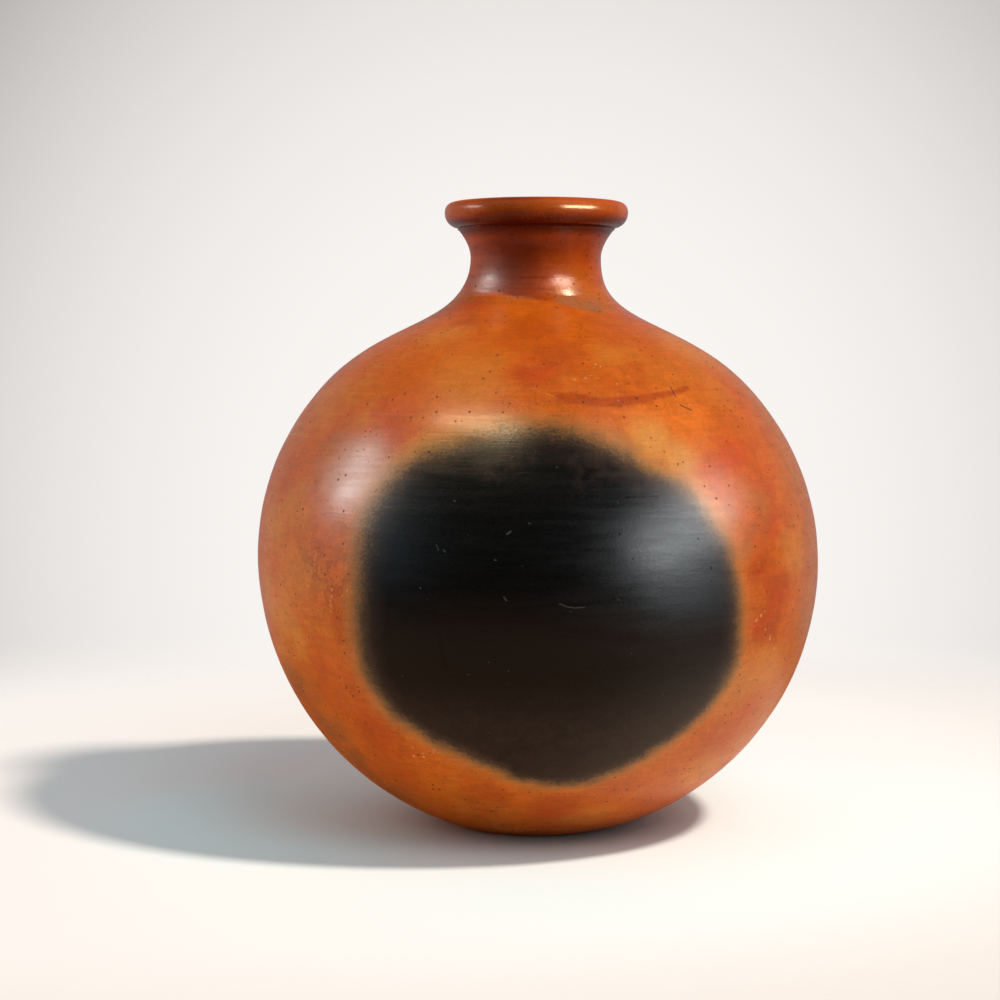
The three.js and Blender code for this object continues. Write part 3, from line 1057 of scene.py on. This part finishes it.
def wiped_clay():
    """Clay inside the pot, wiped with wet fingers and never burnished: dull, darker from the fire."""
    material = bpy.data.materials.new("wiped_clay_inside")
    material.use_nodes = True
    tree = material.node_tree
    shader = tree.nodes["Principled BSDF"]
    coordinates = add(tree, "ShaderNodeTexCoord").outputs["Object"]
    stretched = add(
        tree,
        "ShaderNodeVectorMath",
        {0: coordinates, 1: (1, 1, SMEAR_SLENDERNESS)},
        operation="MULTIPLY",
    )
    smear = add(
        tree,
        "ShaderNodeTexNoise",
        {"Vector": stretched, "Scale": 1 / (SMEAR_SIZE * MM), "Detail": 6, "Roughness": 0.65},
    )
    wiped = add(
        tree,
        "ShaderNodeMix",
        {"Factor": smear, "A": colour(WIPED_BROWN), "B": colour(WIPED_DARK)},
        data_type="RGBA",
    )
    tree.links.new(first_enabled(wiped.outputs), shader.inputs["Base Color"])
    shader.inputs["Roughness"].default_value = WIPED_ROUGHNESS
    relief = add(tree, "ShaderNodeMath", {0: smear, 1: SMEAR_DEPTH * MM}, operation="MULTIPLY")
    bump = add(tree, "ShaderNodeBump", {"Distance": 1, "Height": relief})
    tree.links.new(bump.outputs[0], shader.inputs["Normal"])
    return material


BURNISHED = burnished_clay()
WIPED = wiped_clay()

foot_angle = acos(FOOT_RADIUS / BELLY_RADIUS)
centre = Vector((0, BALL_CENTRE))
ball = ellipse(centre, Vector((BELLY_RADIUS, BELLY_RADIUS)), -foot_angle, 0)
belly_seam = (Vector((BELLY_RADIUS, BALL_CENTRE)), UP, WALL)
inner_radius = BELLY_RADIUS - WALL
floor_height = HOLLOW_DEPTH + FLOOR
floor_angle = asin((BALL_CENTRE - floor_height) / inner_radius)
ball_inside = ellipse(centre, Vector((inner_radius, inner_radius)), 0, -floor_angle)
hollow = bezier(
    Vector((0, HOLLOW_DEPTH)),
    Vector((HOLLOW_RADIUS / 2, HOLLOW_DEPTH)),
    Vector((HOLLOW_RADIUS, 0)),
)
outline = wall([hollow(0)] + outer_row(hollow, INSIDE_SPACING) + [hollow(1), ball(0)])
outline += wall(outer_row(ball, OUTSIDE_SPACING) + beside_seam(belly_seam, -1) + seam_edge(belly_seam, -1))
outline += wall([ball_inside(0.01)] + outer_row(ball_inside, INSIDE_SPACING), inside=True)
outline += wall([ball_inside(1), Vector((0, floor_height))], inside=True)
base_bowl = clay_piece("base_bowl_clay", outline, BURNISHED, WIPED)
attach(base_bowl, "root")
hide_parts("base_bowl")

# Belly slip joint
# The bed of slip that lutes the shoulder dome onto the bowl. It is the same clay thinned with water,
# pressed out flush as the halves are closed and burnished over, so it can't be seen from outside.


def slip_bed(name, seam):
    """A bed of slip between the two luted edges of a seam."""
    outline = closed_ring(seam_edge(seam, -1)[::-1] + seam_edge(seam, 1))
    return clay_piece(name, wall(outline), BURNISHED, WIPED)


def closed_ring(points):
    """An outline that ends where it starts."""
    return points + points[:1]


belly_slip = slip_bed("belly_slip_bed", belly_seam)
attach(belly_slip, "root")
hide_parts("belly_slip_joint")

# Shoulder dome
# The upper half of the ball, a little flatter than the lower, from a second mould. Its top is drawn up
# into the foot of the neck while the clay is soft, and the seam below it is burnished away.

DOME_RISE = 117.2
SHOULDER_ANGLE = radians(40.2)
NECK_RISE = 57.6
SWEEP_LEAVING = 43.6
SWEEP_ARRIVING = 31.3
WAIST_RADIUS = 29.1
WAIST_WALL = 5
NECK_SEAM_DROP = 19.3


def share_before_end(curve, distance):
    """The share of a curve that lies a distance before its end, measured along it."""
    step = 0.0005
    share = 1
    while distance > 0:
        distance -= (curve(share) - curve(share - step)).length
        share -= step
    return share


def sweep_wall(share):
    """The wall's thickness at a share of the sweep, which thins towards the waist."""
    return WALL + (WAIST_WALL - WALL) * share


dome = ellipse(centre, Vector((BELLY_RADIUS, DOME_RISE)), 0, SHOULDER_ANGLE)
shoulder = dome(1)
waist = Vector((WAIST_RADIUS, shoulder.y + NECK_RISE))
sweep = bezier(shoulder, shoulder + rising(dome, 1) * SWEEP_LEAVING, waist - UP * SWEEP_ARRIVING, waist)
neck_share = share_before_end(sweep, NECK_SEAM_DROP)
neck_seam = (sweep(neck_share), rising(sweep, neck_share), sweep_wall(neck_share))
outline = wall(seam_edge(belly_seam, 1)[::-1] + beside_seam(belly_seam, 1) + outer_row(dome, OUTSIDE_SPACING))
outline += wall([shoulder] + outer_row(sweep, OUTSIDE_SPACING, end=neck_share) + beside_seam(neck_seam, -1))
outline += wall(seam_edge(neck_seam, -1))
outline += wall(inner_row(sweep, INSIDE_SPACING, sweep_wall, end=neck_share), inside=True)
outline += wall(inner_row(dome, INSIDE_SPACING, lambda share: WALL), inside=True)
outline += wall(beside_seam(belly_seam, 1, WALL), inside=True)
shoulder_dome = clay_piece("shoulder_dome_clay", closed_ring(outline), BURNISHED, WIPED)
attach(shoulder_dome, "root")
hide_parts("shoulder_dome")

# Neck slip joint
# The bed of slip under the neck collar, smoothed into the shoulder with a fingertip.

neck_slip = slip_bed("neck_slip_bed", neck_seam)
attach(neck_slip, "root")
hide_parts("neck_slip_joint")

# Neck collar
# A short tube of clay, waisted in the fingers and flared to its lip, then painted with iron-rich slip.

FLARE_RISE = 12.9
FLARE_UPRIGHT = 6
FLARE_SPREAD = 5.8
LIP_WALL = 7.9
NECK_SPACING = 0.8

lip = waist + Vector((FLARE_SPREAD, FLARE_RISE))
flare = bezier(waist, waist + UP * FLARE_UPRIGHT, lip)
rim_seam = (lip, UP, LIP_WALL)
throat = behind(waist, UP, WAIST_WALL)
flare_inside = bezier(behind(lip, UP, LIP_WALL), throat + UP * FLARE_UPRIGHT, throat)
outline = wall(seam_edge(neck_seam, 1)[::-1] + beside_seam(neck_seam, 1))
outline += wall(outer_row(sweep, NECK_SPACING, start=neck_share) + [waist] + outer_row(flare, NECK_SPACING))
outline += wall(seam_edge(rim_seam, -1))
outline += wall(outer_row(flare_inside, NECK_SPACING) + [throat], inside=True)
outline += wall(inner_row(sweep, OUTSIDE_SPACING, sweep_wall, start=neck_share), inside=True)
neck_collar = clay_piece("neck_collar_clay", closed_ring(outline), BURNISHED, WIPED)
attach(neck_collar, "root")
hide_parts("neck_collar")

# Rim slip joint
# The bed of slip that seats the rim coil on the lip, hidden in the undercut below the coil.

rim_slip = slip_bed("rim_slip_bed", rim_seam)
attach(rim_slip, "root")
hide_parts("rim_slip_joint")

# Rim roll
# A coil of clay a finger thick, laid round the lip, pressed flatter on top, drawn down inside the mouth
# and rubbed to a gloss.

ROLL_RADIUS = 6.7  # of its round underside
ROLL_OVERHANG = 5.9
ROLL_RISE = 4.8  # from its widest level up to the crest
ROLL_CREST = 5.5  # from its widest place in to the crest
ROLL_FULLNESS = 0.66
ROLL_SPACING = 0.7


def rounded_corner(start, corner, end):
    """A quarter of the roll's top, from one place to another round a corner."""
    return bezier(start, start.lerp(corner, ROLL_FULLNESS), end.lerp(corner, ROLL_FULLNESS), end)


roll_reach = ROLL_RADIUS - ROLL_OVERHANG
seat_angle = acos(roll_reach / ROLL_RADIUS)
roll_middle = lip + Vector((-roll_reach, SLIP / 2 + ROLL_RADIUS * sin(seat_angle)))
widest = Vector((lip.x + ROLL_OVERHANG, roll_middle.y))
crest = widest + Vector((-ROLL_CREST, ROLL_RISE))
mouth_edge = Vector((lip.x - LIP_WALL, widest.y))
underside = ellipse(roll_middle, Vector((ROLL_RADIUS, ROLL_RADIUS)), -seat_angle, 0)
top_outside = rounded_corner(widest, Vector((widest.x, crest.y)), crest)
top_inside = rounded_corner(crest, Vector((mouth_edge.x, crest.y)), mouth_edge)
outline = wall(seam_edge(rim_seam, 1)[::-1])
for curve in (underside, top_outside, top_inside):
    outline += wall(outer_row(curve, ROLL_SPACING) + [curve(1)])
rim_roll = clay_piece("rim_roll_clay", closed_ring(outline), BURNISHED, WIPED)
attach(rim_roll, "root")
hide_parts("rim_roll")

# Floor and backdrop
# A plain sheet of matt white paper under the vase, which takes its shadow and fades out further off.
# Beyond it a pale backdrop fills the view, brightest straight ahead and shaded towards the corners.

PAPER_WHITE = "#e4e4e4"
PAPER_COOL = "#e4f0f2"  # round the vase, where the orange light from the pot falls on it
PAPER_COOLER = "#dcf0f2"  # where there is most of that light
PAPER_DIM_SHADE = "#d6d3d0"  # painted shade far off in front and on the right
PAPER_IN_GLOSS = "#94735a"  # the clay reflects a brown table instead, but for its paler right end
PAPER_IN_GLOSS_RIGHT = "#deccba"
PAPER_KEPT = 0.3  # metres from the vase to where the paper starts to fade, and to where it is gone
PAPER_GONE = 0.6
PAPER_ROUGHNESS = 0.9
PAPER_SHINE = 0.1
FLOOR_SEEN = "#fdf7f2"
BACKDROP_SEEN = "#fbf7f4"
VIGNETTE_CENTRE = -5.1  # degrees above the horizon
VIGNETTE_FALL = 0.081  # darkening ten degrees off
VIGNETTE_POWER = 2.86
VIGNETTE_SQUASH = 0.87  # how much less it falls off upwards than sideways
VIGNETTE_REACH = 19  # degrees off at which it falls no further
VIEW_STEP = 22.5  # half the turn, in degrees, after which the backdrop's shading repeats
HORIZON = (-7.4, -9.8)  # degrees up between which the backdrop gives way to the floor
BEHIND = (0.50, 0.51, 0.52, 1)  # what the vase sees: the lit backdrop, the dim room, and the ceiling
BEHIND_IN_GLOSS = (0.35, 0.35, 0.36, 1)
ROOM = (0.025, 0.025, 0.027, 1)
CEILING = (0.45, 0.455, 0.46, 1)
CEILING_IN_GLOSS = (0.04, 0.04, 0.042, 1)

paper = bpy.data.materials.new("matt_white_paper")
paper.use_nodes = True
tree = paper.node_tree
shader = tree.nodes["Principled BSDF"]
glossy_ray = add(tree, "ShaderNodeLightPath").outputs["Is Glossy Ray"]
centred = add(tree, "ShaderNodeTexCoord").outputs["Object"]


def paper_share(middle, gone, full):
    """How near a place of the paper is to another, in metres: 1 up to full away, and 0 from gone."""
    gap = add(tree, "ShaderNodeVectorMath", {0: centred, 1: middle}, operation="DISTANCE")
    return add(
        tree,
        "ShaderNodeMapRange",
        {"Value": gap, "From Min": gone, "From Max": full},
        interpolation_type="SMOOTHSTEP",
    )


near_shade = paper_share((0.02, 0, 0), 0.3, 0.08)
near_bounce = paper_share((-0.1, 0, 0), 0.12, 0.05)
# Painted shade: the paper darkens far off in front and on the right
far_shade_share = paper_share((-0.12, 0.12, 0), 0.32, 0.52)
near_right_end = paper_share((0.14, 0, 0), 0.2, 0.08)
tinted = colour(PAPER_WHITE)
for share, code in ((near_shade, PAPER_COOL), (near_bounce, PAPER_COOLER), (far_shade_share, PAPER_DIM_SHADE)):
    tinted = add(tree, "ShaderNodeMix", {"Factor": share, "A": tinted, "B": colour(code)}, data_type="RGBA")
reflected = add(
    tree,
    "ShaderNodeMix",
    {"Factor": near_right_end, "A": colour(PAPER_IN_GLOSS), "B": colour(PAPER_IN_GLOSS_RIGHT)},
    data_type="RGBA",
)
whiteness = add(tree, "ShaderNodeMix", {"Factor": glossy_ray, "A": tinted, "B": reflected}, data_type="RGBA")
tree.links.new(first_enabled(whiteness.outputs), shader.inputs["Base Color"])
shader.inputs["Roughness"].default_value = PAPER_ROUGHNESS
shader.inputs["Specular IOR Level"].default_value = PAPER_SHINE
kept = paper_share((0, 0, 0), PAPER_GONE, PAPER_KEPT)
tree.links.new(first_enabled(kept.outputs), shader.inputs["Alpha"])
sheet = bpy.data.meshes.new("floor")
corners = [(x * PAPER_GONE, y * PAPER_GONE, 0) for x, y in ((-1, -1), (1, -1), (1, 1), (-1, 1))]
sheet.from_pydata(corners, [], [(0, 1, 2, 3)])
sheet.materials.append(paper)
floor = bpy.data.objects.new("floor", sheet)
bpy.context.scene.collection.objects.link(floor)

world = bpy.data.worlds.new("pale_backdrop")
bpy.context.scene.world = world
world.use_nodes = True
sky = world.node_tree
way = add(sky, "ShaderNodeTexCoord").outputs["Generated"]
split = add(sky, "ShaderNodeSeparateXYZ", {0: way})
turned = add(sky, "ShaderNodeMath", {0: split.outputs["X"], 1: split.outputs["Y"]}, operation="ARCTAN2")
degrees_round = add(sky, "ShaderNodeMath", {0: turned, 1: 180 / pi}, operation="MULTIPLY")
from_middle = add(sky, "ShaderNodeMath", {0: degrees_round, 1: VIEW_STEP}, operation="PINGPONG")
raised = add(sky, "ShaderNodeMath", {0: split.outputs["Z"]}, operation="ARCSINE")
degrees_up = add(sky, "ShaderNodeMath", {0: raised, 1: 180 / pi}, operation="MULTIPLY")
above_centre = add(sky, "ShaderNodeMath", {0: degrees_up, 1: VIGNETTE_CENTRE}, operation="SUBTRACT")
flatter = add(sky, "ShaderNodeMath", {0: above_centre, 1: VIGNETTE_SQUASH}, operation="MULTIPLY")
off_centre = add(sky, "ShaderNodeCombineXYZ", {"X": from_middle, "Y": flatter})
off_degrees = add(sky, "ShaderNodeVectorMath", {0: off_centre}, operation="LENGTH")
held = add(sky, "ShaderNodeMath", {0: off_degrees, 1: VIGNETTE_REACH}, operation="MINIMUM")
tens = add(sky, "ShaderNodeMath", {0: held, 1: 10}, operation="DIVIDE")
fall = add(sky, "ShaderNodeMath", {0: tens, 1: VIGNETTE_POWER}, operation="POWER")
light_left = add(sky, "ShaderNodeMath", {0: fall, 1: -VIGNETTE_FALL, 2: 1}, operation="MULTIPLY_ADD")
shaded = add(
    sky,
    "ShaderNodeVectorMath",
    {0: colour(BACKDROP_SEEN)[:3], "Scale": light_left},
    operation="SCALE",
)
floor_share = add(
    sky,
    "ShaderNodeMapRange",
    {"Value": degrees_up, "From Min": HORIZON[0], "From Max": HORIZON[1]},
    interpolation_type="SMOOTHSTEP",
)
seen = add(
    sky,
    "ShaderNodeMix",
    {"Factor": floor_share, "A": shaded, "B": colour(FLOOR_SEEN)},
    data_type="RGBA",
)
seen_light = add(sky, "ShaderNodeBackground", {"Color": seen})
light_path = add(sky, "ShaderNodeLightPath")
behind = add(
    sky,
    "ShaderNodeMix",
    {"Factor": light_path.outputs["Is Glossy Ray"], "A": BEHIND, "B": BEHIND_IN_GLOSS},
    data_type="RGBA",
)
far_back = add(
    sky,
    "ShaderNodeMath",
    {0: split.outputs["X"], 1: -0.2, 2: split.outputs["Y"]},
    operation="MULTIPLY_ADD",
)
behind_share = add(
    sky,
    "ShaderNodeMapRange",
    {"Value": far_back, "From Min": -0.05, "From Max": 0.5},
    interpolation_type="SMOOTHSTEP",
)
round_about = add(sky, "ShaderNodeMix", {"Factor": behind_share, "A": ROOM, "B": behind}, data_type="RGBA")
ceiling_share = add(
    sky,
    "ShaderNodeMapRange",
    {"Value": split.outputs["Z"], "From Min": 0.25, "From Max": 0.75},
    interpolation_type="SMOOTHSTEP",
)
overhead = add(
    sky,
    "ShaderNodeMix",
    {"Factor": light_path.outputs["Is Glossy Ray"], "A": CEILING, "B": CEILING_IN_GLOSS},
    data_type="RGBA",
)
surroundings = add(
    sky,
    "ShaderNodeMix",
    {"Factor": ceiling_share, "A": round_about, "B": overhead},
    data_type="RGBA",
)
lit = add(sky, "ShaderNodeBackground", {"Color": surroundings})
both = add(sky, "ShaderNodeMixShader", {0: light_path.outputs["Is Camera Ray"], 1: lit, 2: seen_light})
sky.links.new(both.outputs[0], sky.nodes["World Output"].inputs["Surface"])

# Lights
# A warm lamp from the upper right lights the paper and casts the shadow, and faint light from the sky tints
# it. Soft boxes light the clay from the same side and low on both sides, and smaller ones only glint on the
# ball, the neck or the rim.

LAMP_DISTANCE = 3  # metres
KEY_PLACE = (0.797, -0.46, 1.298)  # metres
KEY_STRENGTH = 39.2
KEY_SOFTNESS = 0.08
KEY_TINT = (1, 0.84, 0.72)


def lit_group(name, *pieces):
    """A collection for lamps that light only these pieces."""
    group = bpy.data.collections.new(name)
    for piece in pieces:
        group.objects.link(piece)
    return group


BALL = (base_bowl, belly_slip, shoulder_dome, neck_slip)
clay = lit_group("lit_clay", *BALL, neck_collar, rim_slip, rim_roll)
ball = lit_group("lit_ball", *BALL)
neck = lit_group("lit_neck", neck_collar)
rim = lit_group("lit_rim", rim_roll)
paper_only = lit_group("lit_paper", floor)


def hang(name, lamp, group):
    """Puts a lamp in the scene, to light one group of pieces."""
    stand = bpy.data.objects.new(name, lamp)
    bpy.context.scene.collection.objects.link(stand)
    stand.light_linking.receiver_collection = group
    return stand


key = bpy.data.lights.new("key", "POINT")
key.energy = KEY_STRENGTH
key.shadow_soft_size = KEY_SOFTNESS
key.color = KEY_TINT
key.use_nodes = True
even = add(key.node_tree, "ShaderNodeLightFalloff", {"Strength": 1})
key.node_tree.links.new(even.outputs["Constant"], key.node_tree.nodes["Emission"].inputs["Strength"])
hang("key", key, paper_only).location = KEY_PLACE


def sky_light(name, towards, strength, tint, width):
    """Faint light on the paper from a wide patch of the sky, its width in degrees."""
    lamp = bpy.data.lights.new(name, "SUN")
    lamp.energy = strength
    lamp.color = tint
    lamp.angle = radians(width)
    hang(name, lamp, paper_only).rotation_euler = Vector(towards).to_track_quat("Z", "Y").to_euler()


sky_light("paper_fill", (-0.65, -0.545, 0.53), 0.3, (1, 0.74, 0.68), 50)
sky_light("shade_fill", (0.45, -0.8, 1), 0.56, (0.66, 0.94, 1), 30)
sky_light("foot_fill", (0.3, -0.9, 0.35), 0.22, (0.4, 0.88, 1), 30)


def lamp_box(name, towards, width, height, radiance, tint, group, roll=0, glints=True):
    """A rectangular lamp facing the ball, its size and roll in degrees, that only glints or only fills."""
    lamp = bpy.data.lights.new(name, "AREA")
    lamp.shape = "RECTANGLE"
    lamp.size = 2 * LAMP_DISTANCE * tan(radians(width / 2))
    lamp.size_y = 2 * LAMP_DISTANCE * tan(radians(height / 2))
    lamp.energy = radiance * pi * lamp.size * lamp.size_y
    lamp.color = tint
    stand = hang(name, lamp, group)
    rolled = Euler((0, 0, radians(roll))).to_quaternion()
    stand.rotation_euler = (towards.to_track_quat("Z", "Y") @ rolled).to_euler()
    stand.location = Vector((0, 0, BALL_CENTRE * MM)) + towards.normalized() * LAMP_DISTANCE
    stand.visible_camera = False
    stand.visible_diffuse = not glints
    stand.visible_glossy = glints


lamp_box("soft_key", Vector((0.5, -0.32, 0.8)), 24, 24, 15, (1, 0.93, 0.86), clay, glints=False)
lamp_box("left_fill", Vector((-0.99, -0.1, 0.05)), 40, 20, 5, (1, 0.96, 0.92), clay, glints=False)
lamp_box("right_fill", Vector((0.86, -0.45, -0.22)), 40, 30, 1.4, (1, 0.96, 0.92), clay, glints=False)
lamp_box("left_glint", Vector((-0.889, -0.045, 0.435)), 10, 21, 27, (0.86, 0.98, 1), ball)
lamp_box("right_glint", Vector((0.852, -0.455, 0.262)), 48, 19, 10.5, (0.93, 0.97, 1), ball, roll=26)
lamp_box("right_low_glint", Vector((0.87, -0.47, -0.12)), 32, 20, 1.4, (0.85, 0.94, 1), ball)
lamp_box("right_far_glint", Vector((0.93, -0.03, 0.37)), 18, 16, 2.8, (0.85, 0.96, 1), ball)
lamp_box("left_sheen", Vector((-0.86, -0.49, 0.12)), 24, 24, 0.5, (0.6, 0.82, 1), ball)
lamp_box("upper_glint", Vector((-0.34, -0.33, 0.88)), 30, 4, 36, (1, 0.82, 0.5), ball, roll=12)
lamp_box("neck_left_glint", Vector((-0.78, 0.05, 0.62)), 14, 14, 44, (1, 0.9, 0.86), neck)
lamp_box("neck_right_glint", Vector((0.6, -0.4, 0.69)), 26, 16, 20, (1, 0.84, 0.7), neck)
lamp_box("neck_key_glint", Vector((0.5, -0.04, 0.865)), 9, 4, 125, (1, 0.86, 0.6), neck)
lamp_box("rim_key_glint", Vector((0.8, -0.54, 0.21)), 40, 13, 48, (1, 0.82, 0.46), rim)
lamp_box("rim_left_glint", Vector((-0.94, -0.05, 0.33)), 24, 8, 12, (1, 0.87, 0.87), rim)

# Camera
# The photograph's view: almost level, a little above the middle of the pot, the pot right of centre.

CAMERA_LENS = 76.25
CAMERA_SENSOR = 36
CAMERA_PLACE = (0, -0.95, 0.211)  # metres
CAMERA_DOWN = 3.99  # degrees
CAMERA_LEFT = 1  # degrees

camera = bpy.data.cameras.new("camera")
camera.lens = CAMERA_LENS
camera.sensor_width = CAMERA_SENSOR
viewer = bpy.data.objects.new("camera", camera)
bpy.context.scene.collection.objects.link(viewer)
viewer.location = CAMERA_PLACE
viewer.rotation_euler = Euler((radians(90 - CAMERA_DOWN), 0, radians(CAMERA_LEFT)))
bpy.context.scene.camera = viewer
bpy.context.scene.view_settings.view_transform = "Standard"
